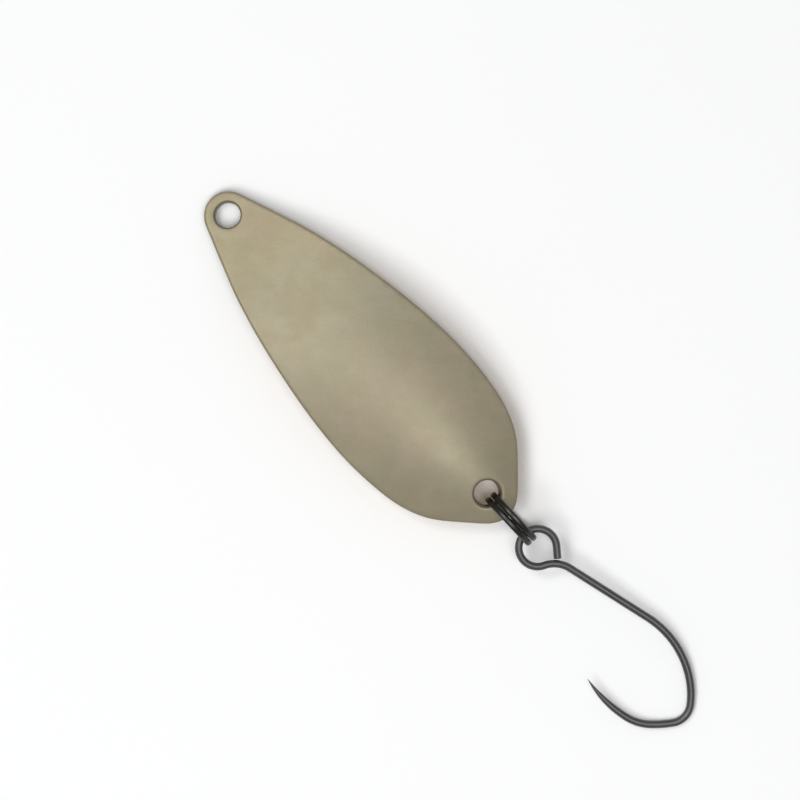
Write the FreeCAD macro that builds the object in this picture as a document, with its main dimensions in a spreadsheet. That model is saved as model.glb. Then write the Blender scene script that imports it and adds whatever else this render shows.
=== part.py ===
"""Casting spoon: a stamped brass blade with a painted front, a split ring
and one barbless hook.

Frame: millimetres, +Z up.  X runs from the line eye (nose) to the hook bend,
the painted convex face is up and the lure lies on the plane Z = 0, on its
nose, on the split ring and on the bend of the hook.  The origin is under the
middle of the whole lure.

Blade stations are measured from the axis of the line eye, where it leaves
the upper face, and are moved to the common origin at the end.
"""
import FreeCAD, Part
import math
import os
from FreeCAD import Vector, Placement, Rotation

os.makedirs("parts", exist_ok=True)
doc = FreeCAD.newDocument("casting_spoon")

# ---------------------------------------------------------------- sizes
sizes = doc.addObject("Spreadsheet::Sheet", "Sizes")
ROWS = [
    # alias, value, meaning
    ("sheet_thick", 0.90, "thickness of the brass sheet"),
    ("film_thick", 0.05, "thickness of the baked paint film on the front"),
    ("line_hole_rad", 1.00, "radius of the line eye"),
    ("tail_hole_rad", 1.05, "radius of the ring hole"),
    ("tail_hole_pos", 28.89, "ring hole axis on the upper face, from the line eye"),
    ("hole_break", 0.18, "edge break of the ring hole"),
    ("film_relief", 0.06, "paint stops this far outside the edge break of the ring hole"),
    ("ring_outer_dia", 4.84, "outside diameter of the split ring"),
    ("ring_wire_radial", 0.40, "ring wire, measured along the radius"),
    ("ring_wire_axial", 0.50, "ring wire, measured along the ring axis"),
    ("ring_wire_corner", 0.19, "corner radius of the ring wire"),
    ("ring_turn_gap", 0.03, "gap between the two turns"),
    ("ring_pos", 31.50, "ring centre, from the line eye"),
    ("ring_cross_mid", 248.0, "middle of the crossover, degrees from +X towards +Z"),
    ("ring_cross_span", 40.0, "span of the crossover, degrees"),
    ("ring_end_gap", 4.0, "gap between a wire end and the crossover, degrees"),
    ("wire_dia", 0.600, "hook wire diameter"),
    ("hook_pitch", 6.0, "tilt of the hook plane at rest, degrees"),
    ("hook_hold_pos", 33.08, "where the eye wire passes through the ring, from the line eye"),
    ("hook_hold_high", 2.242, "height of that wire above the ground"),
    ("point_rad", 0.022, "radius of the very tip of the hook"),
    ("shift_x", -25.023, "from the line eye to the common origin"),
    ("shift_z", 0.0, "set below from the form of the blade"),
]
for i, (alias, value, note) in enumerate(ROWS, start=1):
    sizes.set("A%d" % i, note)
    sizes.set("B%d" % i, repr(value))
    sizes.setAlias("B%d" % i, alias)
# slope of the ridge line (degrees), side slope (degrees) and ridge rounding
# (mm) at stations along the blade
STATIONS = [
    # x, slope, side slope, ridge rounding
    (-3.20, 9.4, 0.0, 6.0),
    (-1.75, 9.6, 0.0, 6.0),
    (4.55, 11.0, 0.3, 6.0),
    (9.85, 10.4, 4.5, 5.6),
    (15.15, 5.6, 11.5, 5.0),
    (19.70, 0.6, 15.5, 4.2),
    (24.24, -6.2, 16.8, 3.0),
    (28.71, -15.2, 16.5, 1.7),
    (31.24, -18.6, 15.5, 1.2),
    (32.60, -19.2, 15.0, 1.1),
]
# half width of the blank at stations along the blade
OUTLINE = [
    (-1.790, 0.0), (-1.520, 0.960), (-0.85, 1.610), (0.0, 1.970), (1.515, 2.535),
    (3.03, 3.085), (4.545, 3.625), (6.06, 4.075), (7.576, 4.472), (9.09, 4.815),
    (10.606, 5.120), (12.121, 5.393), (13.636, 5.636), (15.152, 5.836),
    (16.667, 5.990), (18.182, 6.092), (19.697, 6.128), (21.212, 6.072),
    (22.727, 5.937), (24.242, 5.710), (25.758, 5.280), (27.273, 4.530),
    (28.788, 3.288), (30.303, 1.865), (30.76, 1.36), (31.08, 0.80), (31.242, 0.0),
]
first = len(ROWS) + 2
for i, row in enumerate(STATIONS):
    for column, name, value in zip("BCDE", ("stn_x", "stn_slope", "stn_side", "stn_round"), row):
        sizes.set("%s%d" % (column, first + i), repr(value))
        sizes.setAlias("%s%d" % (column, first + i), "%s_%s" % (name, chr(97 + i)))
first += len(STATIONS) + 1
for i, row in enumerate(OUTLINE):
    for column, name, value in zip("BC", ("edge_x", "edge_half"), row):
        sizes.set("%s%d" % (column, first + i), repr(value))
        sizes.setAlias("%s%d" % (column, first + i), "%s_%s%s" % (name, chr(97 + i // 9), chr(97 + i % 9)))
doc.recompute()


def size(name):
    value = getattr(sizes, name)
    return float(getattr(value, "Value", value))


T = size("sheet_thick")

# ---------------------------------------------------------------- blade form
STN = [tuple(size("%s_%s" % (n, chr(97 + i))) for n in ("stn_x", "stn_slope", "stn_side", "stn_round"))
       for i in range(len(STATIONS))]


def table(x, column):
    """Piecewise cubic (Catmull-Rom on uneven stations) through a column."""
    xs = [r[0] for r in STN]
    ys = [r[column] for r in STN]
    n = len(xs)
    if x <= xs[0]:
        return ys[0]
    if x >= xs[-1]:
        return ys[-1]
    k = max(i for i in range(n - 1) if xs[i] <= x)

    def grad(i):
        if i == 0 or i == n - 1:
            return 0.0
        a = (ys[i] - ys[i - 1]) / (xs[i] - xs[i - 1])
        b = (ys[i + 1] - ys[i]) / (xs[i + 1] - xs[i])
        if a * b <= 0.0:
            return 0.0
        return 2.0 * a * b / (a + b)
    dx = xs[k + 1] - xs[k]
    u = (x - xs[k]) / dx
    return ((1 + 2 * u) * (1 - u) ** 2 * ys[k] + u * (1 - u) ** 2 * dx * grad(k)
            + u * u * (3 - 2 * u) * ys[k + 1] + u * u * (u - 1) * dx * grad(k + 1))


STEP = 0.05
RIDGE = {}


def ridge(x):
    """Height of the ridge line above the line eye's rim."""
    n = int(round(abs(x) / STEP))
    sign = 1.0 if x >= 0 else -1.0
    z = 0.0
    for j in range(n):
        xm = sign * (j + 0.5) * STEP
        z += sign * STEP * math.tan(math.radians(table(xm, 1)))
    rest = x - sign * n * STEP
    return z + rest * math.tan(math.radians(table(x, 1)))


def form(x, y):
    """Upper metal surface of the blade."""
    r = table(x, 3)
    if x not in RIDGE:
        RIDGE[x] = ridge(x)
    return RIDGE[x] - math.tan(math.radians(table(x, 2))) * (math.sqrt(y * y + r * r) - r)


XS = [-3.1 + (32.5 + 3.1) * i / 36.0 for i in range(37)]
YS = [-7.4, -6.2, -5.0, -4.0, -3.1, -2.3, -1.6, -1.0, -0.5, 0.0]
YS = YS + [-v for v in reversed(YS[:-1])]
grid = [[Vector(x, y, form(x, y)) for y in YS] for x in XS]
surf = Part.BSplineSurface()
surf.interpolate(grid)
formed = doc.addObject("Part::Feature", "formed_surface")
formed.Shape = surf.toShape()


def slope_at(x):
    return math.atan((form(x + 0.02, 0) - form(x - 0.02, 0)) / 0.04)


def up_at(x):
    a = slope_at(x)
    return Vector(-math.sin(a), 0, math.cos(a))


# outline of the blank, as a sketch that is extruded through the form
edge_pts = [(size("edge_x_%s%s" % (chr(97 + i // 9), chr(97 + i % 9))),
             size("edge_half_%s%s" % (chr(97 + i // 9), chr(97 + i % 9)))) for i in range(len(OUTLINE))]
loop = [Vector(x, y, 0) for x, y in edge_pts] + [Vector(x, -y, 0) for x, y in reversed(edge_pts[1:-1])]
curve = Part.BSplineCurve()
curve.interpolate(Points=loop, PeriodicFlag=True)
blank_sketch = doc.addObject("Sketcher::SketchObject", "blank_outline")
blank_sketch.addGeometry(curve, False)
blank_sketch.Placement = Placement(Vector(0, 0, -20), Rotation())
doc.recompute()
blank = doc.addObject("Part::Extrusion", "blank_column")
blank.Base = blank_sketch
blank.DirMode = "Custom"
blank.Dir = Vector(0, 0, 1)
blank.LengthFwd = 40.0
blank.Solid = True
doc.recompute()
trimmed = doc.addObject("Part::Common", "trimmed_surface")
trimmed.Base = formed
trimmed.Tool = blank
doc.recompute()
print("trimmed", trimmed.State, trimmed.Shape.ShapeType, len(trimmed.Shape.Faces), round(trimmed.Shape.Area, 3))

face_up = trimmed.Shape.Faces[0]
u0, u1, v0, v1 = face_up.ParameterRange
normal = face_up.normalAt((u0 + u1) / 2, (v0 + v1) / 2)
print("normal", normal)
side = 1.0 if normal.z > 0 else -1.0

plate = doc.addObject("Part::Offset", "plate_solid")
plate.Source = trimmed
plate.setExpression("Value", ("-" if side > 0 else "") + "Sizes.sheet_thick")
plate.Mode = "Skin"
plate.Join = "Arc"
plate.Fill = True
film = doc.addObject("Part::Offset", "film_solid")
film.Source = trimmed
film.setExpression("Value", ("" if side > 0 else "-") + "Sizes.film_thick")
film.Mode = "Skin"
film.Join = "Arc"
film.Fill = True
doc.recompute()

# ---------------------------------------------------------------- holes
def cylinder(name, radius, centre, axis, half=2.0):
    """A cutter on an axis through a point of the upper face."""
    o = doc.addObject("Part::Cylinder", name)
    o.setExpression("Radius", radius)
    o.Height = 2 * half
    turn = Rotation(Vector(0, 0, 1), axis)
    o.Placement = Placement(centre - axis * half, turn)
    return o


nose_at = Vector(0, 0, form(0.0, 0.0))
nose_up = up_at(0.0)
tail_x = size("tail_hole_pos")
tail_at = Vector(tail_x, 0, form(tail_x, 0.0))
tail_up = up_at(tail_x)

line_cut = cylinder("line_eye_cutter", "Sizes.line_hole_rad", nose_at, nose_up)
tail_cut = cylinder("ring_hole_cutter", "Sizes.tail_hole_rad", tail_at, tail_up)
# the ring hole has broken edges, so that the ring can lie close to its wall
breaks = []
for name, base, direction in (("upper_break", tail_at, tail_up), ("lower_break", tail_at - tail_up * T, tail_up * -1)):
    cone = doc.addObject("Part::Cone", name)
    cone.setExpression("Radius1", "Sizes.tail_hole_rad - 0.05")
    cone.setExpression("Radius2", "Sizes.tail_hole_rad + Sizes.hole_break + 0.30")
    cone.setExpression("Height", "Sizes.hole_break + 0.35")
    cone.Placement = Placement(base - direction * (size("hole_break") + 0.05), Rotation(Vector(0, 0, 1), direction))
    breaks.append(cone)
cutters = doc.addObject("Part::MultiFuse", "blade_cutters")
cutters.Shapes = [line_cut, tail_cut] + breaks
blade = doc.addObject("Part::Cut", "spoon_blade")
blade.Base = plate
blade.Tool = cutters
film_cutters = doc.addObject("Part::MultiFuse", "film_cutters")
film_cutters.Shapes = [
    cylinder("line_eye_relief", "Sizes.line_hole_rad", nose_at, nose_up),
    cylinder("ring_hole_relief", "Sizes.tail_hole_rad + Sizes.hole_break + Sizes.film_relief", tail_at, tail_up)]
enamel = doc.addObject("Part::Cut", "front_enamel")
enamel.Base = film
enamel.Tool = film_cutters
doc.recompute()

# ground level: the lowest point of the nose
lowest = min(v.z for v in blade.Shape.tessellate(0.01)[0])
row = [r[0] for r in ROWS].index("shift_z") + 1
sizes.set("B%d" % row, repr(round(-lowest, 4)))
doc.recompute()
SHIFT = Vector(size("shift_x"), 0, size("shift_z"))

# ---------------------------------------------------------------- split ring
RO = size("ring_outer_dia") / 2
WR = size("ring_wire_radial")
WA = size("ring_wire_axial")
WC = size("ring_wire_corner")
RM = RO - WR / 2
OFF = (WA + size("ring_turn_gap")) / 2


def ring_section(phi, y):
    """Rounded section of the ring wire in the half plane at angle phi."""
    er = Vector(math.cos(phi), 0, math.sin(phi))
    ey = Vector(0, 1, 0)
    c = er * RM + ey * y
    a, b, r = WR / 2, WA / 2, WC
    k = r * (1 - math.sqrt(0.5))

    def p(i, j):
        return c + er * i + ey * j
    e = []
    e.append(Part.LineSegment(p(a, -(b - r)), p(a, b - r)).toShape())
    e.append(Part.Arc(p(a, b - r), p(a - k, b - k), p(a - r, b)).toShape())
    e.append(Part.LineSegment(p(a - r, b), p(-(a - r), b)).toShape())
    e.append(Part.Arc(p(-(a - r), b), p(-a + k, b - k), p(-a, b - r)).toShape())
    e.append(Part.LineSegment(p(-a, b - r), p(-a, -(b - r))).toShape())
    e.append(Part.Arc(p(-a, -(b - r)), p(-a + k, -b + k), p(-(a - r), -b)).toShape())
    e.append(Part.LineSegment(p(-(a - r), -b), p(a - r, -b)).toShape())
    e.append(Part.Arc(p(a - r, -b), p(a - k, -b + k), p(a, -(b - r))).toShape())
    return Part.Wire(e)


mid = math.radians(size("ring_cross_mid"))
half = math.radians(size("ring_cross_span")) / 2
gap = math.radians(size("ring_end_gap"))
turn = 2 * math.pi - 2 * half - gap


def revolved(name, section, angle):
    src = doc.addObject("Part::Feature", name + "_section")
    src.Shape = section
    o = doc.addObject("Part::Revolution", name)
    o.Source = src
    o.Axis = Vector(0, -1, 0)      # from +X towards +Z
    o.Base = Vector(0, 0, 0)
    o.Angle = math.degrees(angle)
    o.Solid = True
    return o


# turn one starts a little past the crossover and runs round to its start
turn_a = revolved("ring_turn_one", ring_section(mid + half + gap, -OFF), turn)
turn_b = revolved("ring_turn_two", ring_section(mid + half, OFF), turn)
cross_sections = []
N_CROSS = 8
for i in range(N_CROSS + 1):
    u = i / N_CROSS
    y = -OFF + 2 * OFF * u * u * (3 - 2 * u)
    f = doc.addObject("Part::Feature", "cross_section_%d" % i)
    f.Shape = ring_section(mid - half + 2 * half * u, y)
    cross_sections.append(f)
cross = doc.addObject("Part::Loft", "ring_crossover")
cross.Sections = cross_sections
cross.Solid = True
cross.Ruled = False
ring = doc.addObject("Part::MultiFuse", "split_ring")
ring.Shapes = [turn_a, cross, turn_b]
doc.recompute()

# ---------------------------------------------------------------- hook
# The wire's centre line is a chain of straight runs and tangent arcs in one
# plane.  It is given from the middle of the shank, once towards the eye and
# once towards the point: (length) is a run, (angle, radius) an arc, and a
# positive angle turns left.
SHANK = (41.0, 1.666)
HEAD = math.radians(194.48)
TO_EYE = [(3.790,), (52.47, 2.249), (-284.86, 1.440), (0.970,)]
TO_BEND = [(3.273,), (-49.36, 7.168), (-15.59, 6.174), (-73.50, 1.549), (-11.31, 8.961)]
TO_POINT = [(-30.13, 3.702), (-24.73, 9.562)]


def chain(at, heading, moves, backwards=False):
    """Edges of a chain, its end, its end heading and its length."""
    edges = []
    x, y = at
    total = 0.0
    for m in moves:
        if len(m) == 1:
            nx, ny = x + m[0] * math.cos(heading), y + m[0] * math.sin(heading)
            pts = (Vector(x, y, 0), Vector(nx, ny, 0))
            edges.append(Part.LineSegment(*(reversed(pts) if backwards else pts)))
            total += m[0]
        else:
            turn_by, radius = math.radians(m[0]), m[1]
            s = 1.0 if turn_by > 0 else -1.0
            cx, cy = x - s * radius * math.sin(heading), y + s * radius * math.cos(heading)

            def at_angle(t):
                return (cx + s * radius * math.sin(heading + t), cy - s * radius * math.cos(heading + t))
            mx, my = at_angle(turn_by / 2)
            nx, ny = at_angle(turn_by)
            pts = (Vector(x, y, 0), Vector(mx, my, 0), Vector(nx, ny, 0))
            edges.append(Part.Arc(*(reversed(pts) if backwards else pts)))
            heading += turn_by
            total += radius * abs(turn_by)
        x, y = nx, ny
    return edges, (x, y), heading, total


def along(at, heading, moves, s):
    """Point and heading at length s along a chain."""
    x, y = at
    for m in moves:
        length = m[0] if len(m) == 1 else abs(math.radians(m[0])) * m[1]
        part = min(s, length)
        if len(m) == 1:
            x, y = x + part * math.cos(heading), y + part * math.sin(heading)
        else:
            sgn = 1.0 if m[0] > 0 else -1.0
            t = sgn * part / m[1]
            cx, cy = x - sgn * m[1] * math.sin(heading), y + sgn * m[1] * math.cos(heading)
            x, y = cx + sgn * m[1] * math.sin(heading + t), cy - sgn * m[1] * math.cos(heading + t)
            heading += t
        s -= part
        if s <= 1e-9:
            break
    return (x, y), heading


eye_edges, eye_end, eye_heading, eye_length = chain(SHANK, HEAD, TO_EYE, backwards=True)
bend_edges, bend_end, bend_heading, bend_length = chain(SHANK, HEAD - math.pi, TO_BEND)
path_sketch = doc.addObject("Sketcher::SketchObject", "hook_centre_line")
# one chain from the cut end in the eye to the start of the taper
for e in list(reversed(eye_edges)) + bend_edges:
    path_sketch.addGeometry(e, False)
doc.recompute()
print("hook sketch", path_sketch.State, len(path_sketch.Shape.Edges), "eye end", eye_end, "taper start", bend_end)

wire_section = doc.addObject("Part::Circle", "wire_section")
wire_section.setExpression("Radius", "Sizes.wire_dia / 2")
wire_section.Placement = Placement(Vector(bend_end[0], bend_end[1], 0),
                                   Rotation(Vector(0, 0, 1), Vector(math.cos(bend_heading), math.sin(bend_heading), 0)))
wire = doc.addObject("Part::Sweep", "hook_wire")
wire.Sections = [wire_section]
wire.Spine = (path_sketch, ["Edge%d" % (i + 1) for i in range(len(path_sketch.Shape.Edges))])
wire.Solid = True
wire.Frenet = False
doc.recompute()

# needle point: circles that shrink along the last arcs
taper_length = sum(abs(math.radians(m[0])) * m[1] for m in TO_POINT)
PROFILE = [(0.0, 0.076), (0.35, 0.23), (0.7, 0.36), (1.1, 0.50), (1.6, 0.655), (2.2, 0.79), (3.0, 0.89),
           (3.9, 0.945), (5.0, 0.985), (taper_length, 1.0)]
rings_of_point = []
for i, (s_tip, share) in enumerate(reversed(PROFILE)):
    (px, py), head = along(bend_end, bend_heading, TO_POINT, taper_length - s_tip)
    c = doc.addObject("Part::Circle", "point_section_%d" % i)
    c.setExpression("Radius", "Sizes.wire_dia / 2 * %r" % share if s_tip > 0 else "Sizes.point_rad")
    c.Placement = Placement(Vector(px, py, 0), Rotation(Vector(0, 0, 1), Vector(math.cos(head), math.sin(head), 0)))
    rings_of_point.append(c)
point = doc.addObject("Part::Loft", "hook_point")
point.Sections = rings_of_point
point.Solid = True
point.Ruled = False
hook = doc.addObject("Part::MultiFuse", "hook")
hook.Shapes = [wire, point]
doc.recompute()
print("wire", wire.State, wire.Shape.isValid(), "volume", round(wire.Shape.Volume, 4), "section x length",
      round(math.pi * size("wire_dia") ** 2 / 4 * (eye_length + bend_length), 4))
print("point", point.State, point.Shape.isValid(), round(point.Shape.Volume, 4), "length", round(taper_length, 3))

# ---------------------------------------------------------------- placing
for name in ("spoon_blade", "front_enamel"):
    o = doc.getObject(name)
    o.Placement = Placement(SHIFT, Rotation())
    o.setExpression("Placement.Base.x", "Sizes.shift_x")
    o.setExpression("Placement.Base.z", "Sizes.shift_z")
ring.Placement = Placement(Vector(size("ring_pos") + SHIFT.x, 0, RO), Rotation())
ring.setExpression("Placement.Base.x", "Sizes.ring_pos + Sizes.shift_x")
ring.setExpression("Placement.Base.z", "Sizes.ring_outer_dia / 2")
hold = Vector(size("hook_hold_pos"), 0, 0)
hook.Placement = Placement(Vector(SHIFT.x, 0, size("hook_hold_high")),
                           Rotation(Vector(0, 1, 0), size("hook_pitch")), hold)
doc.recompute()

# ---------------------------------------------------------------- checks and files
NODES = [blade, enamel, ring, hook]
for o in doc.Objects:
    if "Invalid" in o.State or "Error" in o.State:
        raise RuntimeError("object failed: %s %s" % (o.Name, o.State))
for o in NODES:
    shape = o.Shape
    if shape.isNull() or not shape.isValid():
        raise RuntimeError("bad shape: " + o.Name)
    if len(shape.Solids) != 1:
        raise RuntimeError("%s has %d solids" % (o.Name, len(shape.Solids)))
    pts = shape.tessellate(0.01)[0]
    lo = [min(p[i] for p in pts) for i in range(3)]
    hi = [max(p[i] for p in pts) for i in range(3)]
    print("%-13s volume %8.3f  low %s  high %s  faces %d" % (o.Label, shape.Volume, ["%.3f" % v for v in lo],
                                                         ["%.3f" % v for v in hi], len(shape.Faces)))
    shape.exportStep(os.path.join("parts", o.Label + ".step"))
print("line eye axis", [round(v, 5) for v in (nose_at + SHIFT)], [round(v, 6) for v in nose_up])
print("ring hole axis", [round(v, 5) for v in (tail_at + SHIFT)], [round(v, 6) for v in tail_up])
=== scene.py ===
"""Looks of the casting spoon: blade, paint coat, split ring and hook, built
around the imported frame.  Lengths are worked in millimetres and scaled to
metres when a mesh is made."""
import math
import bpy
import numpy as np
from mathutils import Vector, Matrix, geometry


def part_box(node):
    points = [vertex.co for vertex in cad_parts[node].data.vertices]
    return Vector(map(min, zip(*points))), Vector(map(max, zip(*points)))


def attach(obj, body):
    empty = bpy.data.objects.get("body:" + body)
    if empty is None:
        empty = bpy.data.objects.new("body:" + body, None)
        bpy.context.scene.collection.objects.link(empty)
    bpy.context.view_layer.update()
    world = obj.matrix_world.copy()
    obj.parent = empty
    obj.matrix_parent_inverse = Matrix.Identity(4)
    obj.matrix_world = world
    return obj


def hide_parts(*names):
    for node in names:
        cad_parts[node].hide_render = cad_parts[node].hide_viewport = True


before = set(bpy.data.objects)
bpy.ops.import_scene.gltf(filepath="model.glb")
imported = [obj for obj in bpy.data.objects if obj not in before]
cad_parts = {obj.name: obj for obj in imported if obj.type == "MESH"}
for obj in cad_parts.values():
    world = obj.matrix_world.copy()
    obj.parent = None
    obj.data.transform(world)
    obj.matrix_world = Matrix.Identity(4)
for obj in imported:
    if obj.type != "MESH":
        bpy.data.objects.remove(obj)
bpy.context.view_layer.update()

MM = 0.001
SHIFT_X = -25.023
SHIFT_Z = 1.1895          # height of the line eye's rim: set from the node below

# ------------------------------------------------------------------ camera
PX_PER_MM = 13.2
CENTRE = Vector((19.194 + SHIFT_X, -0.011, 2.0)) * MM
DIST = 0.62
cam_data = bpy.data.cameras.new("camera")
cam_data.type = "PERSP"
cam_data.sensor_width = 36.0
cam_data.lens = 36.0 * (DIST * 1000.0) / (800.0 / PX_PER_MM)
cam_data.clip_start, cam_data.clip_end = 0.01, 20.0
camera = bpy.data.objects.new("camera", cam_data)
bpy.context.scene.collection.objects.link(camera)
right = Vector((0.6820, 0.7313, 0.0)).normalized()
upward = Vector((-right.y, right.x, 0.0))
rot = Matrix((right, upward, Vector((0, 0, 1)))).transposed()
camera.matrix_world = Matrix.Translation(CENTRE + Vector((0, 0, DIST))) @ rot.to_4x4()
bpy.context.scene.camera = camera

# ------------------------------------------------------------------ blade form
T = 0.90
FILM = 0.05
STN = np.array([
    # x, slope, side slope, ridge rounding
    (-3.20, 9.4, 0.0, 6.0), (-1.75, 9.6, 0.0, 6.0), (4.55, 11.0, 0.3, 6.0), (9.85, 10.4, 4.5, 5.6),
    (15.15, 5.6, 11.5, 5.0), (19.70, 0.6, 15.5, 4.2), (24.24, -6.2, 16.8, 3.0), (28.71, -15.2, 16.5, 1.7),
    (31.24, -18.6, 15.5, 1.2), (32.60, -19.2, 15.0, 1.1)])
OUTLINE = [
    (-1.790, 0.0), (-1.520, 0.960), (-0.85, 1.610), (0.0, 1.970), (1.515, 2.535),
    (3.03, 3.085), (4.545, 3.625), (6.06, 4.075), (7.576, 4.472), (9.09, 4.815),
    (10.606, 5.120), (12.121, 5.393), (13.636, 5.636), (15.152, 5.836),
    (16.667, 5.990), (18.182, 6.092), (19.697, 6.128), (21.212, 6.072),
    (22.727, 5.937), (24.242, 5.710), (25.758, 5.280), (27.273, 4.530),
    (28.788, 3.288), (30.303, 1.865), (30.76, 1.36), (31.08, 0.80), (31.242, 0.0)]
TAIL_X, TAIL_R, LINE_R = 28.89, 1.05, 1.00


def table(column, xs):
    """Monotone cubic through one column of the stations."""
    x, y = STN[:, 0], STN[:, column]
    d = np.diff(y) / np.diff(x)
    g = np.zeros(len(x))
    for i in range(1, len(x) - 1):
        if d[i - 1] * d[i] > 0:
            g[i] = 2 * d[i - 1] * d[i] / (d[i - 1] + d[i])
    k = np.clip(np.searchsorted(x, xs, side="right") - 1, 0, len(x) - 2)
    dx = x[k + 1] - x[k]
    u = np.clip((xs - x[k]) / dx, 0, 1)
    return ((1 + 2 * u) * (1 - u) ** 2 * y[k] + u * (1 - u) ** 2 * dx * g[k]
            + u * u * (3 - 2 * u) * y[k + 1] + u * u * (u - 1) * dx * g[k + 1])


FX = np.arange(-3.2, 32.6, 0.01)
F_SLOPE = np.tan(np.radians(table(1, FX)))
F_Z = np.concatenate([[0.0], np.cumsum((F_SLOPE[1:] + F_SLOPE[:-1]) * 0.005)])
F_Z -= np.interp(0.0, FX, F_Z)
F_SIDE = np.tan(np.radians(table(2, FX)))
F_ROUND = table(3, FX)


def form(x, y):
    r = np.interp(x, FX, F_ROUND)
    return np.interp(x, FX, F_Z) - np.interp(x, FX, F_SIDE) * (np.sqrt(y * y + r * r) - r)


def form_normal(x, y):
    e = 0.02
    zx = (form(x + e, y) - form(x - e, y)) / (2 * e)
    zy = (form(x, y + e) - form(x, y - e)) / (2 * e)
    n = np.stack([-zx, -zy, np.ones_like(zx)], axis=-1)
    return n / np.linalg.norm(n, axis=-1, keepdims=True)


def on_sheet(xy, depth):
    """Points at a depth below the upper face of the blade."""
    x, y = xy[:, 0], xy[:, 1]
    p = np.stack([x, y, form(x, y)], axis=-1)
    return p - form_normal(x, y) * np.reshape(depth, (-1, 1))


def periodic_spline(points, count):
    """Evenly spaced points of the smooth closed curve through points."""
    p = np.asarray(points, float)
    n = len(p)
    h = np.linalg.norm(np.roll(p, -1, axis=0) - p, axis=1)
    a = np.zeros((n, n))
    rhs = np.zeros((n, 2))
    for i in range(n):
        hp, hn = h[i - 1], h[i]
        a[i, (i - 1) % n] += hp
        a[i, i] += 2 * (hp + hn)
        a[i, (i + 1) % n] += hn
        rhs[i] = 6 * ((p[(i + 1) % n] - p[i]) / hn - (p[i] - p[i - 1]) / hp)
    m = np.linalg.solve(a, rhs)
    out = []
    for i in range(n):
        j = (i + 1) % n
        for u in np.arange(0, 1, 1 / 40):
            t = u * h[i]
            w = h[i] - t
            out.append((m[i] * w ** 3 + m[j] * t ** 3) / (6 * h[i])
                       + (p[i] / h[i] - m[i] * h[i] / 6) * w + (p[j] / h[i] - m[j] * h[i] / 6) * t)
    out = np.array(out)
    seg = np.linalg.norm(np.roll(out, -1, axis=0) - out, axis=1)
    s = np.concatenate([[0], np.cumsum(seg)])
    closed = np.vstack([out, out[:1]])
    want = np.linspace(0, s[-1], count, endpoint=False)
    return np.stack([np.interp(want, s, closed[:, 0]), np.interp(want, s, closed[:, 1])], axis=-1)


def outward(loop):
    """Unit normals that point out of a closed anticlockwise loop."""
    t = np.roll(loop, -1, axis=0) - np.roll(loop, 1, axis=0)
    n = np.stack([t[:, 1], -t[:, 0]], axis=-1)
    return n / np.linalg.norm(n, axis=1, keepdims=True)


half = OUTLINE[1:-1]
loop_pts = [OUTLINE[0]] + [(x, -y) for x, y in half] + [OUTLINE[-1]] + [(x, y) for x, y in reversed(half)]
RIM = periodic_spline(loop_pts, 620)
area = 0.5 * np.sum(RIM[:, 0] * np.roll(RIM[:, 1], -1) - np.roll(RIM[:, 0], -1) * RIM[:, 1])
if area < 0:
    RIM = RIM[::-1].copy()
RIM_OUT = outward(RIM)
RIM = RIM - RIM_OUT * 0.012       # leaves room for the paint that wraps the edge


def hole_loop(cx, radius, count):
    """A round hole, square to the sheet, seen in plan."""
    slope = math.atan(float(np.interp(cx, FX, F_SLOPE)))
    a = np.linspace(0, 2 * math.pi, count, endpoint=False)
    return np.stack([cx + radius * math.cos(slope) * np.cos(a), radius * np.sin(a)], axis=-1)


NOSE_HOLE = hole_loop(0.0, LINE_R, 120)
TAIL_HOLE = hole_loop(TAIL_X, TAIL_R, 132)
LOOPS = [(RIM, RIM_OUT), (NOSE_HOLE, -outward(NOSE_HOLE)), (TAIL_HOLE, -outward(TAIL_HOLE))]


def inside(points, loop):
    """Which points lie inside a closed loop."""
    x, y = points[:, 0], points[:, 1]
    ok = np.zeros(len(points), bool)
    a, b = loop, np.roll(loop, -1, axis=0)
    for (x1, y1), (x2, y2) in zip(a, b):
        if y1 == y2:
            continue
        hit = (y1 > y) != (y2 > y)
        ok ^= hit & (x < (x2 - x1) * (y - y1) / (y2 - y1) + x1)
    return ok


def nearest(points, targets):
    out = np.empty(len(points))
    for i in range(0, len(points), 2000):
        d = points[i:i + 2000, None, :] - targets[None, :, :]
        out[i:i + 2000] = np.sqrt((d * d).sum(-1)).min(1)
    return out


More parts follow.
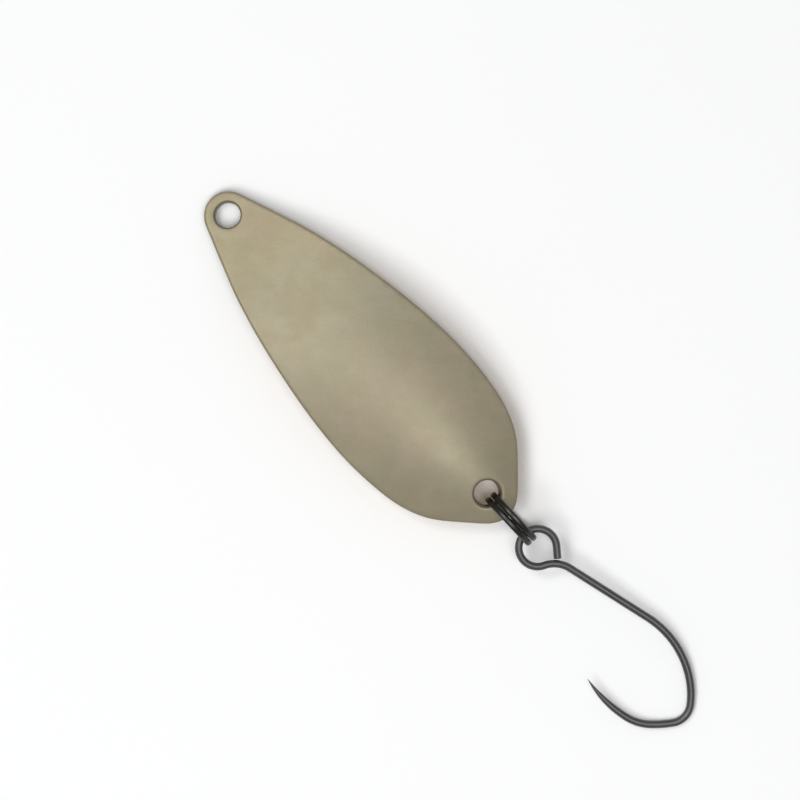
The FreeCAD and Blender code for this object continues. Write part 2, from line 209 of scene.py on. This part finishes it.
def fill(loops, spacing, extra=None, extra_spacing=0.1):
    """Triangles that fill the first loop around the other loops.
    The first points returned are those of the loops, in order."""
    allp = np.vstack(loops)
    lo, hi = loops[0].min(0), loops[0].max(0)

    def lattice(a, b, step):
        rows = []
        dy = step * 0.866
        for j, yy in enumerate(np.arange(a[1] + step * 0.5, b[1], dy)):
            xx = np.arange(a[0] + (0.5 * step if j % 2 else 0.0) + step * 0.3, b[0], step)
            rows.append(np.stack([xx, np.full_like(xx, yy)], axis=-1))
        return np.vstack(rows)
    pts = lattice(lo, hi, spacing)
    if extra is not None:
        keep = np.ones(len(pts), bool)
        fine = []
        for (xa, ya, xb, yb) in extra:
            keep &= ~((pts[:, 0] > xa - 0.5 * spacing) & (pts[:, 0] < xb + 0.5 * spacing)
                      & (pts[:, 1] > ya - 0.5 * spacing) & (pts[:, 1] < yb + 0.5 * spacing))
            fine.append(lattice((xa, ya), (xb, yb), extra_spacing))
        pts = np.vstack([pts[keep]] + fine)
    ok = inside(pts, loops[0])
    for h in loops[1:]:
        ok &= ~inside(pts, h)
    pts = pts[ok]
    pts = pts[nearest(pts, allp) > 0.55 * min(spacing, 0.14)]
    verts = np.vstack([allp, pts])
    edges, base = [], 0
    for h in loops:
        n = len(h)
        edges += [(base + i, base + (i + 1) % n) for i in range(n)]
        base += n
    res = geometry.delaunay_2d_cdt([Vector(v) for v in verts], edges, [], 0, 1e-7, True)
    v2 = np.array([tuple(v) for v in res[0]])
    src = [o[0] if o else -1 for o in res[3]]
    tris = np.array([f for f in res[2] if len(f) == 3])
    cen = v2[tris].mean(1)
    ok = inside(cen, loops[0])
    for h in loops[1:]:
        ok &= ~inside(cen, h)
    tris = tris[ok]
    index = np.array(src)
    assert (index >= 0).all()
    return verts, index[tris]


def rows_of(profile, loop, normals):
    """Rings of points for a rim profile of (inset, depth)."""
    return [on_sheet(loop - normals * a, np.full(len(loop), d)) for a, d in profile]


def mesh_from(name, verts, faces, smooth=True, scale=MM):
    me = bpy.data.meshes.new(name)
    me.from_pydata([tuple(v) for v in np.asarray(verts) * scale], [], [tuple(int(i) for i in f) for f in faces])
    me.validate()
    me.update()
    if smooth:
        me.polygons.foreach_set("use_smooth", [True] * len(me.polygons))
    ob = bpy.data.objects.new(name, me)
    bpy.context.scene.collection.objects.link(ob)
    import bmesh
    bm = bmesh.new()
    bm.from_mesh(me)
    bmesh.ops.recalc_face_normals(bm, faces=bm.faces)
    if bm.calc_volume(signed=True) < 0:
        bmesh.ops.reverse_faces(bm, faces=bm.faces)
    bm.to_mesh(me)
    bm.free()
    me.update()
    return ob


def shell(name, upper_insets, lower_insets, profiles, upper_depth, lower_depth, spacing_u, spacing_l,
          extra=None, extra_spacing=0.1, upper_field=None, lower_field=None):
    """A closed sheet body.  profiles holds, for each loop, the rim profile
    from the upper face to the lower face; its first and last rings are the
    borders of the two faces."""
    verts, faces, count = [], [], 0
    rings = []
    for (loop, normals), profile in zip(LOOPS, profiles):
        ids = []
        for ring in rows_of(profile, loop, normals):
            verts.append(ring)
            ids.append(np.arange(count, count + len(ring)))
            count += len(ring)
        rings.append(ids)
        for a, b in zip(ids[:-1], ids[1:]):
            n = len(a)
            for i in range(n):
                j = (i + 1) % n
                faces.append((a[i], a[j], b[j], b[i]))
    for which, depth, spacing, field, ex in ((0, upper_depth, spacing_u, upper_field, None),
                                             (-1, lower_depth, spacing_l, lower_field, extra)):
        borders = []
        for (loop, normals), profile in zip(LOOPS, profiles):
            borders.append(loop - normals * profile[which][0])
        v2, tris = fill(borders, spacing, ex, extra_spacing)
        nb = sum(len(b) for b in borders)
        d = np.full(len(v2), depth)
        if field is not None:
            d = d + field(v2)
        inner = on_sheet(v2[nb:], d[nb:])
        verts.append(inner)
        ids = np.concatenate([r[which] for r in rings] + [np.arange(count, count + len(inner))])
        count += len(inner)
        faces += [tuple(ids[t]) for t in tris]
    v = np.vstack(verts)
    plan = v[:, :2]
    near_rim = nearest(plan, RIM)
    near_hole = nearest(plan, np.vstack([NOSE_HOLE, TAIL_HOLE]))
    pressed = stamp_edge(plan)
    lower = v[:, 2] < form(plan[:, 0], plan[:, 1]) - 0.5 * T
    ob = mesh_from(name, v + np.array([SHIFT_X, 0.0, SHIFT_Z]), faces)
    for key, vals in (("rim", near_rim), ("hole", near_hole), ("pressed", np.where(lower, pressed, 0.0))):
        at = ob.data.attributes.new(key, "FLOAT", "POINT")
        at.data.foreach_set("value", np.asarray(vals, dtype=np.float32))
    return ob


# where the ground is: the frame's own blade says how high the line eye sits
lo_b, hi_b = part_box("spoon_blade")
test = on_sheet(RIM, np.full(len(RIM), T))
SHIFT_Z = lo_b.z / MM - float(test[:, 2].min()) + 0.006

# ------------------------------------------------------------------ stamped pattern on the back
def smooth01(v):
    v = np.clip(v, 0.0, 1.0)
    return v * v * (3 - 2 * v)


def segment(p, a, b):
    a, b = np.array(a), np.array(b)
    ab = b - a
    t = np.clip(((p - a) @ ab) / (ab @ ab), 0, 1)
    return np.linalg.norm(p - (a + t[:, None] * ab), axis=1)


STAMP = []
for i in range(9):            # a row of outlined chevrons
    x0 = 9.0 + i * 1.66
    outer = [((x0, 0.10), (x0 + 0.95, 1.12)), ((x0 + 0.95, 1.12), (x0, 2.14))]
    STAMP += [(a, b, 0.115) for a, b in outer]
for i in range(3):            # three short bars
    x0 = 14.5 + i * 1.15
    STAMP.append(((x0, -2.45), (x0, -1.15), 0.115))


def stamp_depth(xy):
    """How far the back is pressed in (towards the front)."""
    out = np.zeros(len(xy))
    for a, b, w in STAMP:
        m = ((xy[:, 0] > min(a[0], b[0]) - 0.5) & (xy[:, 0] < max(a[0], b[0]) + 0.5)
             & (xy[:, 1] > min(a[1], b[1]) - 0.5) & (xy[:, 1] < max(a[1], b[1]) + 0.5))
        if m.any():
            d = segment(xy[m], a, b)
            out[m] = np.maximum(out[m], 0.085 * smooth01((w + 0.10 - d) / 0.14))
    return -out


def stamp_edge(xy):
    """1 on the walls of the pressed lines, 0 away from them."""
    out = np.zeros(len(xy))
    for a, b, w in STAMP:
        m = ((xy[:, 0] > min(a[0], b[0]) - 0.5) & (xy[:, 0] < max(a[0], b[0]) + 0.5)
             & (xy[:, 1] > min(a[1], b[1]) - 0.5) & (xy[:, 1] < max(a[1], b[1]) + 0.5))
        if m.any():
            d = segment(xy[m], a, b)
            out[m] = np.maximum(out[m], np.exp(-((d - w - 0.03) / 0.07) ** 2))
    return out


STAMP_BOX = [(8.6, -0.2, 23.6, 2.5), (14.1, -2.8, 17.2, -0.8)]


def metal_profile(r_up, r_low, n=7):
    p = [(r_up, 0.0)]
    for k in range(1, n + 1):
        a = math.pi / 2 * k / n
        p.append((r_up * (1 - math.sin(a)), r_up * (1 - math.cos(a))))
    for u in (0.33, 0.66):
        p.append((0.0, r_up + (T - r_up - r_low) * u))
    for k in range(0, n + 1):
        a = math.pi / 2 * k / n
        p.append((r_low * (1 - math.cos(a)), T - r_low * (1 - math.sin(a))))
    return p


def film_profile(r_up, reach, edge=0.022, n=7):
    """Paint that follows the rounded edge and ends on the wall."""
    p = []
    for k in range(0, n + 1):
        a = math.pi / 2 * k / n
        f = FILM + (edge - FILM) * k / n
        p.append((r_up - (r_up + f) * math.sin(a), r_up - (r_up + f) * math.cos(a)))
    p.append((-edge, r_up + reach * 0.5))
    p.append((-edge * 0.85, r_up + reach))
    p.append((-0.004, r_up + reach + 0.02))
    g = 0.003
    p.append((-g, r_up + reach * 0.5))
    for k in range(n, -1, -1):
        a = math.pi / 2 * k / n
        p.append((r_up - (r_up + g) * math.sin(a), r_up - (r_up + g) * math.cos(a)))
    return p


metal = shell("blade_metal", None, None,
              [metal_profile(0.16, 0.12), metal_profile(0.15, 0.13), metal_profile(0.20, 0.24)],
              0.0, T, 0.30, 0.24, STAMP_BOX, 0.075, None, stamp_depth)
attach(metal, "blade")
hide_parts("spoon_blade")
film = shell("blade_paint", None, None,
             [film_profile(0.16, 0.34), film_profile(0.15, 0.22), film_profile(0.20, 0.10)],
             -FILM, -0.003, 0.24, 0.30)
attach(film, "blade")
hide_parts("front_enamel")


# ------------------------------------------------------------------ swept wire
def sweep(name, points, tangents, frames, section, closed_section=True):
    """A tube: section(i) gives (a, b) pairs in the plane of frames[i]."""
    verts, faces = [], []
    n = None
    for i, (p, (e1, e2)) in enumerate(zip(points, frames)):
        sec = section(i)
        n = len(sec)
        for a, b in sec:
            verts.append(p + e1 * a + e2 * b)
    m = len(points)
    for i in range(m - 1):
        for j in range(n):
            k = (j + 1) % n
            faces.append((i * n + j, i * n + k, (i + 1) * n + k, (i + 1) * n + j))
    faces.append(tuple(range(n - 1, -1, -1)))
    faces.append(tuple((m - 1) * n + j for j in range(n)))
    return verts, faces


# split ring
RO, WR, WA, WC = 2.42, 0.40, 0.50, 0.19
RM = RO - WR / 2
OFF = (WA + 0.03) / 2
RING_C = np.array([31.50 + SHIFT_X, 0.0, RO])
cross_mid, cross_half, end_gap = math.radians(248.0), math.radians(20.0), math.radians(4.0)


def ring_section_points(shrink=0.0):
    shrink = shrink + 0.003
    a, b = WR / 2 - shrink, WA / 2 - shrink
    r = max(WC - shrink, 0.02)
    pts = []
    for cx, cy, start in ((a - r, b - r, 0), (-(a - r), b - r, 90), (-(a - r), -(b - r), 180), (a - r, -(b - r), 270)):
        for k in range(7):
            t = math.radians(start + 15 * k)
            pts.append((cx + r * math.cos(t), cy + r * math.sin(t)))
    return pts


start = cross_mid + cross_half + end_gap
turn_one = 2 * math.pi - 2 * cross_half - end_gap
end = start + turn_one + 2 * cross_half + turn_one
phis, ys, shrinks = [], [], []


def add(phi, y, shrink=0.0):
    phis.append(phi)
    ys.append(y)
    shrinks.append(shrink)


def lift(u):
    return -OFF + 2 * OFF * u * u * (3 - 2 * u)


bevel = 0.06
for k in range(4):           # rounded start
    a = math.pi / 2 * k / 4
    add(start + (bevel * (1 - math.sin(a))) / RM, -OFF, bevel * (1 - math.cos(a)))
phis_start = [start + bevel * (1 - math.cos(math.pi / 2 * k / 4)) / RM for k in range(4)]
for k in range(4):
    phis[k] = phis_start[k]
    shrinks[k] = bevel * (1 - math.sin(math.pi / 2 * k / 4))
for k in range(150):
    add(start + bevel / RM + (turn_one - bevel / RM) * k / 150, -OFF)
for k in range(30):
    add(start + turn_one + 2 * cross_half * k / 30, lift(k / 30))
for k in range(150):
    add(start + turn_one + 2 * cross_half + (turn_one - bevel / RM) * k / 150, OFF)
for k in range(5):
    a = math.pi / 2 * k / 4
    add(end - bevel / RM + bevel * math.sin(a) / RM, OFF, bevel * (1 - math.cos(a)))
pts, frames = [], []
for phi, y in zip(phis, ys):
    er = np.array([math.cos(phi), 0.0, math.sin(phi)])
    pts.append(RING_C + er * RM + np.array([0.0, y, 0.0]))
    frames.append((er, np.array([0.0, 1.0, 0.0])))
v, f = sweep("ring", pts, None, frames, lambda i: ring_section_points(shrinks[i]))
ring = mesh_from("ring_wire", v, f)
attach(ring, "ring")
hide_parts("split_ring")

# hook
SHANK, HEAD = (41.0, 1.666), math.radians(194.48)
TO_EYE = [(3.790,), (52.47, 2.249), (-284.86, 1.440), (0.970,)]
TO_BEND = [(3.273,), (-49.36, 7.168), (-15.59, 6.174), (-73.50, 1.549), (-11.31, 8.961)]
TO_POINT = [(-30.13, 3.702), (-24.73, 9.562)]
WIRE = 0.600 / 2


def walk(at, heading, moves, step=0.06):
    """Points, headings and lengths along straight runs and tangent arcs."""
    x, y = at
    out = [(x, y, heading, 0.0)]
    total = 0.0
    for mv in moves:
        length = mv[0] if len(mv) == 1 else abs(math.radians(mv[0])) * mv[1]
        n = max(2, int(math.ceil(length / step)))
        x0, y0, h0 = x, y, heading
        for k in range(1, n + 1):
            q = length * k / n
            if len(mv) == 1:
                x, y = x0 + q * math.cos(h0), y0 + q * math.sin(h0)
            else:
                s = 1.0 if mv[0] > 0 else -1.0
                t = s * q / mv[1]
                cx, cy = x0 - s * mv[1] * math.sin(h0), y0 + s * mv[1] * math.cos(h0)
                x, y = cx + s * mv[1] * math.sin(h0 + t), cy - s * mv[1] * math.cos(h0 + t)
                heading = h0 + t
            out.append((x, y, heading, total + q))
        total += length
    return out


eye = walk(SHANK, HEAD, TO_EYE)
rest = walk(SHANK, HEAD - math.pi, TO_BEND + TO_POINT)
total = rest[-1][3]
line = [(x, y, h - math.pi) for x, y, h, _ in reversed(eye)] + [(x, y, h) for x, y, h, _ in rest[1:]]
to_tip = [total + s for _, _, _, s in reversed(eye)] + [total - s for _, _, _, s in rest[1:]]
PROFILE = [(0.0, 0.076), (0.35, 0.23), (0.7, 0.36), (1.1, 0.50), (1.6, 0.655), (2.2, 0.79), (3.0, 0.89),
           (3.9, 0.945), (5.0, 0.985), (6.074, 1.0), (99.0, 1.0)]
radii = list(WIRE * np.interp(to_tip, [p[0] for p in PROFILE], [p[1] for p in PROFILE]))
radii = [r - 0.004 for r in radii]
# rounded cut end in the eye, and a closed tip
x0, y0, h0 = line[0]
cap_line, cap_r = [], []
for k in range(4):
    a = math.pi / 2 * k / 4
    back = 0.05 * (1 - math.sin(a))
    cap_line.append((x0 + 0.05 * math.cos(h0) - 0.05 * math.sin(a) * math.cos(h0) * 1.0,
                     y0 + 0.05 * math.sin(h0) - 0.05 * math.sin(a) * math.sin(h0) * 1.0, h0))
    cap_r.append(radii[0] - 0.05 * (1 - math.sin(a)))
cap_line = []
cap_r = []
for k in range(4):
    a = math.pi / 2 * k / 4
    d = 0.05 * (1 - math.cos(a))
    cap_line.append((x0 + d * math.cos(h0), y0 + d * math.sin(h0), h0))
    cap_r.append(radii[0] - 0.05 * (1 - math.sin(a)))
keep = [i for i in range(len(line)) if (line[i][0] - x0) ** 2 + (line[i][1] - y0) ** 2 > 0.05 ** 2 or i > 10]
line = cap_line + [line[i] for i in keep]
radii = cap_r + [radii[i] for i in keep]
xt, yt, ht = line[-1]
line += [(xt + 0.012 * math.cos(ht), yt + 0.012 * math.sin(ht), ht)]
radii += [0.008]

PITCH = math.radians(6.0)
HOLD = np.array([33.08, 0.0, 0.0])
HOLD_Z = 2.242


def tilt(p):
    q = p - HOLD
    c, s = math.cos(PITCH), math.sin(PITCH)
    return np.array([HOLD[0] + c * q[0] + s * q[2] + SHIFT_X, q[1], HOLD_Z - s * q[0] + c * q[2]])


def tilt_dir(q):
    c, s = math.cos(PITCH), math.sin(PITCH)
    return np.array([c * q[0] + s * q[2], q[1], -s * q[0] + c * q[2]])


SIDES = 28
circle = [(math.cos(2 * math.pi * k / SIDES), math.sin(2 * math.pi * k / SIDES)) for k in range(SIDES)]
pts = [tilt(np.array([x, y, 0.0])) for x, y, _ in line]
frames = [(tilt_dir(np.array([-math.sin(h), math.cos(h), 0.0])), tilt_dir(np.array([0.0, 0.0, 1.0]))) for _, _, h in line]
v, f = sweep("hook", pts, None, frames, lambda i: [(a * radii[i], b * radii[i]) for a, b in circle])
hook = mesh_from("hook_wire", v, f)
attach(hook, "hook")
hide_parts("hook")


# ------------------------------------------------------------------ materials
def srgb(r, g, b):
    def lin(c):
        c /= 255.0
        return c / 12.92 if c <= 0.04045 else ((c + 0.055) / 1.055) ** 2.4
    return (lin(r), lin(g), lin(b), 1.0)


class Nodes:
    """Short hand for building a material."""

    def __init__(self, name):
        self.mat = bpy.data.materials.new(name)
        self.mat.use_nodes = True
        self.tree = self.mat.node_tree
        self.tree.nodes.clear()
        self.out = self.add("ShaderNodeOutputMaterial")
        self.bsdf = self.add("ShaderNodeBsdfPrincipled")
        self.link(self.bsdf, 0, self.out, "Surface")
        self.coord = self.add("ShaderNodeTexCoord")

    def add(self, kind, **values):
        n = self.tree.nodes.new(kind)
        for k, val in values.items():
            setattr(n, k, val)
        return n

    def link(self, a, i, b, j):
        self.tree.links.new(a.outputs[i], b.inputs[j])

    def mapping(self, scale=(1, 1, 1), loc=(0, 0, 0)):
        m = self.add("ShaderNodeMapping")
        m.inputs["Scale"].default_value = scale
        m.inputs["Location"].default_value = loc
        self.link(self.coord, "Object", m, "Vector")
        return m

    def noise(self, scale, detail=3.0, rough=0.5, stretch=(1, 1, 1), distortion=0.0):
        n = self.add("ShaderNodeTexNoise")
        n.inputs["Scale"].default_value = scale
        n.inputs["Detail"].default_value = detail
        n.inputs["Roughness"].default_value = rough
        n.inputs["Distortion"].default_value = distortion
        self.link(self.mapping(stretch), 0, n, "Vector")
        return n

    def turned_noise(self, scale, detail, rough, angle, stretch, distortion=0.0):
        """Noise drawn out along a direction at an angle to X."""
        n = self.add("ShaderNodeTexNoise")
        for key, val in (("Scale", scale), ("Detail", detail), ("Roughness", rough), ("Distortion", distortion)):
            n.inputs[key].default_value = val
        turn = self.mapping()
        turn.inputs["Rotation"].default_value = (0.0, 0.0, -angle)
        pull = self.add("ShaderNodeMapping")
        pull.inputs["Scale"].default_value = (stretch, 1.0, 1.0)
        self.link(turn, 0, pull, "Vector")
        self.link(pull, 0, n, "Vector")
        return n

    def ramp(self, source, out, stops, interp="LINEAR"):
        r = self.add("ShaderNodeValToRGB")
        r.color_ramp.interpolation = interp
        while len(r.color_ramp.elements) < len(stops):
            r.color_ramp.elements.new(0.5)
        for e, (pos, col) in zip(r.color_ramp.elements, stops):
            e.position = pos
            e.color = col
        self.link(source, out, r, "Fac")
        return r

    def mix(self, fac, a, b, mode="MIX"):
        """fac, a and b are (node, output) pairs or values."""
        m = self.add("ShaderNodeMix", data_type="RGBA", blend_type=mode)
        for key, val in ((0, fac), (6, a), (7, b)):
            if isinstance(val, tuple) and len(val) == 2 and hasattr(val[0], "outputs"):
                self.tree.links.new(val[0].outputs[val[1]], m.inputs[key])
            else:
                m.inputs[key].default_value = val
        return m

    def math(self, op, a, b=None, c=None, clamp=False):
        m = self.add("ShaderNodeMath", operation=op, use_clamp=clamp)
        for key, val in enumerate((a, b, c)):
            if val is None:
                continue
            if isinstance(val, tuple):
                self.tree.links.new(val[0].outputs[val[1]], m.inputs[key])
            else:
                m.inputs[key].default_value = val
        return m

    def range(self, source, lo, hi, to_lo, to_hi, smooth=True):
        m = self.add("ShaderNodeMapRange", interpolation_type="SMOOTHSTEP" if smooth else "LINEAR")
        self.tree.links.new(source[0].outputs[source[1]], m.inputs["Value"])
        for key, val in (("From Min", lo), ("From Max", hi), ("To Min", to_lo), ("To Max", to_hi)):
            m.inputs[key].default_value = val
        return m

    def bump(self, source, strength, distance):
        b = self.add("ShaderNodeBump")
        b.inputs["Strength"].default_value = strength
        b.inputs["Distance"].default_value = distance
        self.tree.links.new(source[0].outputs[source[1]], b.inputs["Height"])
        return b

    def attribute(self, name):
        a = self.add("ShaderNodeAttribute", attribute_name=name)
        return (a, "Fac")

    def axis(self, which):
        s = self.add("ShaderNodeSeparateXYZ")
        self.link(self.coord, "Object", s, 0)
        return (s, which)


# painted front
m = Nodes("khaki_paint")
broad = m.noise(150.0, 3.0, 0.55, (1, 1, 1), 0.5)
patch = m.noise(330.0, 3.0, 0.60, (1, 1, 1), 0.3)
cloud = m.noise(620.0, 4.0, 0.6)
wipe = m.turned_noise(520.0, 5.0, 0.66, math.radians(43.0), 0.42, 0.8)
scuff = m.turned_noise(2300.0, 3.0, 0.6, math.radians(52.0), 0.16, 0.6)
grain = m.noise(5200.0, 2.0, 0.5)
# rubbed paint: warmer, greener and greyer patches a few millimetres wide
tone = m.ramp(broad, "Fac", [(0.30, srgb(173, 153, 131)), (0.44, srgb(162, 151, 127)), (0.56, srgb(155, 149, 121)),
                             (0.70, srgb(158, 153, 137))])
tint = m.ramp(patch, "Fac", [(0.32, srgb(149, 145, 125)), (0.5, srgb(160, 151, 127)), (0.68, srgb(174, 158, 134))])
small = m.ramp(cloud, "Fac", [(0.34, srgb(150, 143, 112)), (0.5, srgb(160, 151, 128)), (0.68, srgb(171, 160, 144))])
drag = m.ramp(wipe, "Fac", [(0.38, srgb(153, 146, 120)), (0.5, srgb(160, 151, 128)), (0.62, srgb(168, 157, 135))])
both = m.mix(0.42, (tone, 0), (tint, 0))
both = m.mix(0.24, (both, 2), (small, 0))
both = m.mix(0.26, (both, 2), (drag, 0))
rubbed = m.ramp(scuff, "Fac", [(0.62, (1.0, 1.0, 1.0, 1)), (0.72, (0.95, 0.95, 0.94, 1))])
both = m.mix(0.7, (both, 2), (rubbed, 0), "MULTIPLY")
speck = m.ramp(grain, "Fac", [(0.36, (0.93, 0.93, 0.93, 1)), (0.55, (1, 1, 1, 1)), (0.72, (1.0, 1.0, 1.0, 1))])
both = m.mix(0.5, (both, 2), (speck, 0), "MULTIPLY")
toward_nose = m.range(m.axis(0), (2.0 + SHIFT_X) * MM, (16.0 + SHIFT_X) * MM, 1.0, 0.0)
both = m.mix((toward_nose, 0), (both, 2), (m.mix(1.0, (both, 2), (0.995, 0.975, 0.925, 1.0), "MULTIPLY"), 2))
# painted shade: a dark line along the rounded rim of the paint, faint at the nose and strongest toward the tail
rim_shade_reach = m.math("MULTIPLY_ADD", (cloud, "Fac"), 0.16, m.attribute("rim"))
edge = m.range((rim_shade_reach, 0), 0.07, 0.25, 0.58, 0.0)
edge = m.math("MULTIPLY", (edge, 0), (m.range(m.axis(0), (1.0 + SHIFT_X) * MM, (27.0 + SHIFT_X) * MM, 0.05, 1.0), 0))
both = m.mix((edge, 0), (both, 2), srgb(112, 104, 80))
# painted shade: darker paint around the rims of the two holes
hole_rim_shade = m.range(m.attribute("hole"), 0.04, 0.15, 0.52, 0.0)
both = m.mix((hole_rim_shade, 0), (both, 2), srgb(104, 97, 76))
m.link(both, 2, m.bsdf, "Base Color")
rough = m.range((patch, "Fac"), 0.3, 0.7, 0.430, 0.480)
m.link(rough, 0, m.bsdf, "Roughness")
m.bsdf.inputs["Metallic"].default_value = 0.5
m.bsdf.inputs["Specular IOR Level"].default_value = 0.5
b1 = m.bump((grain, "Fac"), 0.10, 0.00002)
b2 = m.bump((cloud, "Fac"), 0.05, 0.00005)
m.link(b1, 0, b2, "Normal")
m.link(b2, 0, m.bsdf, "Normal")
film.data.materials.append(m.mat)

# gold back with a smoked nose
m = Nodes("gold_plate")
x = m.axis(0)
y = m.axis(1)
fog = m.noise(380.0, 4.0, 0.6)
brush = m.noise(1400.0, 4.0, 0.60, (0.16, 1, 1))
pit = m.noise(3800.0, 3.0, 0.6)
gold = m.ramp(fog, "Fac", [(0.28, srgb(192, 148, 46)), (0.5, srgb(208, 164, 56)), (0.75, srgb(222, 180, 74))])
# smoke: black at the nose, brown where it thins, longest along the rims
ay = m.math("ABSOLUTE", y)
rimward = m.math("MULTIPLY", (ay, 0), -0.55)
along_x = m.math("ADD", x, (rimward, 0))
wob = m.math("MULTIPLY_ADD", (fog, "Fac"), 0.0016, (along_x, 0))
smoke = m.range((wob, 0), (-1.2 + SHIFT_X) * MM, (8.2 + SHIFT_X) * MM, 1.0, 0.0)
smoked = m.ramp(smoke, 0, [(0.0, srgb(208, 164, 56)), (0.30, srgb(132, 92, 36)), (0.60, srgb(58, 42, 28)),
                           (0.85, srgb(24, 20, 18)), (1.0, srgb(18, 16, 15))])
smoke_fac = m.range((smoke, 0), 0.02, 0.30, 0.0, 1.0)
body = m.mix((smoke_fac, 0), (gold, 0), (smoked, 0))
# painted shade: the walls of the pressed lines darkened to deep brown
groove_shade = m.math("MULTIPLY", m.attribute("pressed"), 0.85)
body = m.mix((groove_shade, 0), (body, 2), srgb(66, 45, 16))
# painted dark reflection: the gold turns darker brown toward its rim
lip = m.range(m.attribute("rim"), 0.02, 0.30, 0.55, 0.0)
body = m.mix((lip, 0), (body, 2), srgb(120, 84, 34))
# painted shade on the hole walls: pale grey-brown at the line eye, darker brown toward the tail eye
aft = m.range(x, (4.0 + SHIFT_X) * MM, (20.0 + SHIFT_X) * MM, 0.0, 1.0)
wall = m.ramp(aft, 0, [(0.0, srgb(122, 112, 94)), (1.0, srgb(74, 60, 42))])
bore_shade = m.range(m.attribute("hole"), 0.03, 0.36, 0.92, 0.0)
body = m.mix((bore_shade, 0), (body, 2), (wall, 0))
m.link(body, 2, m.bsdf, "Base Color")
m.bsdf.inputs["Metallic"].default_value = 1.0
rough = m.range((brush, "Fac"), 0.3, 0.7, 0.32, 0.39)
m.link(rough, 0, m.bsdf, "Roughness")
b1 = m.bump((pit, "Fac"), 0.14, 0.00002)
b2 = m.bump((brush, "Fac"), 0.05, 0.00002)
m.link(b1, 0, b2, "Normal")
m.link(b2, 0, m.bsdf, "Normal")
metal.data.materials.append(m.mat)


def black_nickel(name, stretch, dark, light, rough_lo, rough_hi):
    m = Nodes(name)
    stain = m.noise(260.0, 3.0, 0.5)
    draw = m.noise(5200.0, 3.0, 0.6, stretch)
    col = m.ramp(stain, "Fac", [(0.25, dark), (0.75, light)])
    streak = m.ramp(draw, "Fac", [(0.35, (0.90, 0.90, 0.90, 1)), (0.65, (1, 1, 1, 1))])
    col2 = m.mix(0.6, (col, 0), (streak, 0), "MULTIPLY")
    m.link(col2, 2, m.bsdf, "Base Color")
    m.bsdf.inputs["Metallic"].default_value = 1.0
    rough = m.range((stain, "Fac"), 0.3, 0.7, rough_lo, rough_hi)
    m.link(rough, 0, m.bsdf, "Roughness")
    b = m.bump((draw, "Fac"), 0.18, 0.00001)
    m.link(b, 0, m.bsdf, "Normal")
    return m.mat


ring.data.materials.append(black_nickel("black_nickel_ring", (1, 0.15, 1), srgb(68, 67, 66), srgb(82, 81, 80), 0.34, 0.40))
hook.data.materials.append(black_nickel("black_nickel_wire", (0.15, 1, 1), srgb(106, 105, 105), srgb(116, 115, 115), 0.44, 0.50))

# ------------------------------------------------------------------ stage
bm_size = 6.0
floor_me = bpy.data.meshes.new("floor")
floor_me.from_pydata([(-bm_size, -bm_size, 0), (bm_size, -bm_size, 0), (bm_size, bm_size, 0), (-bm_size, bm_size, 0)],
                     [], [(0, 1, 2, 3)])
floor = bpy.data.objects.new("floor", floor_me)
bpy.context.scene.collection.objects.link(floor)
floor.location.z = -0.00002
m = Nodes("pale_floor")
paper = m.noise(30.0, 2.0, 0.5)
col = m.ramp(paper, "Fac", [(0.3, (0.968, 0.968, 0.968, 1)), (0.7, (0.974, 0.974, 0.974, 1))])
m.link(col, 0, m.bsdf, "Base Color")
m.bsdf.inputs["Roughness"].default_value = 0.9
m.bsdf.inputs["Specular IOR Level"].default_value = 0.0
floor_me.materials.append(m.mat)

world = bpy.data.worlds.new("world")
bpy.context.scene.world = world
world.use_nodes = True
world.node_tree.nodes["Background"].inputs[0].default_value = (1.0, 1.0, 1.0, 1.0)
world.node_tree.nodes["Background"].inputs[1].default_value = 0.25


def area(name, at, towards, size, power, size_y=None, colour=(1, 1, 1)):
    d = bpy.data.lights.new(name, "AREA")
    d.shape = "RECTANGLE"
    d.size, d.size_y = size, size_y or size
    d.energy = power
    d.color = colour
    o = bpy.data.objects.new(name, d)
    bpy.context.scene.collection.objects.link(o)
    o.location = at
    o.rotation_mode = "QUATERNION"
    o.rotation_quaternion = (Vector(towards) - Vector(at)).to_track_quat("-Z", "Y")
    o.visible_camera = False
    return o


target = Vector((0, 0, 0.002))
# the shadow falls to the image's upper right, which is +Y and a little -X
key = area("key", Vector((0.02, -0.30, 0.60)), target, 0.34, 1.90, 0.34, (0.985, 1.0, 1.0))
key.visible_glossy = False
area("top_nose", Vector((-0.37, -0.09, 0.76)), target, 0.28, 1.55, 0.26)
area("top_tail", Vector((0.24, 0.03, 0.80)), target, 0.24, 0.84, 0.30)
area("top_mid", Vector((0.10, 0.01, 0.88)), target, 0.18, 0.80, 0.18)
bpy.context.scene.view_settings.view_transform = "Standard"
bpy.context.scene.view_settings.look = "None"
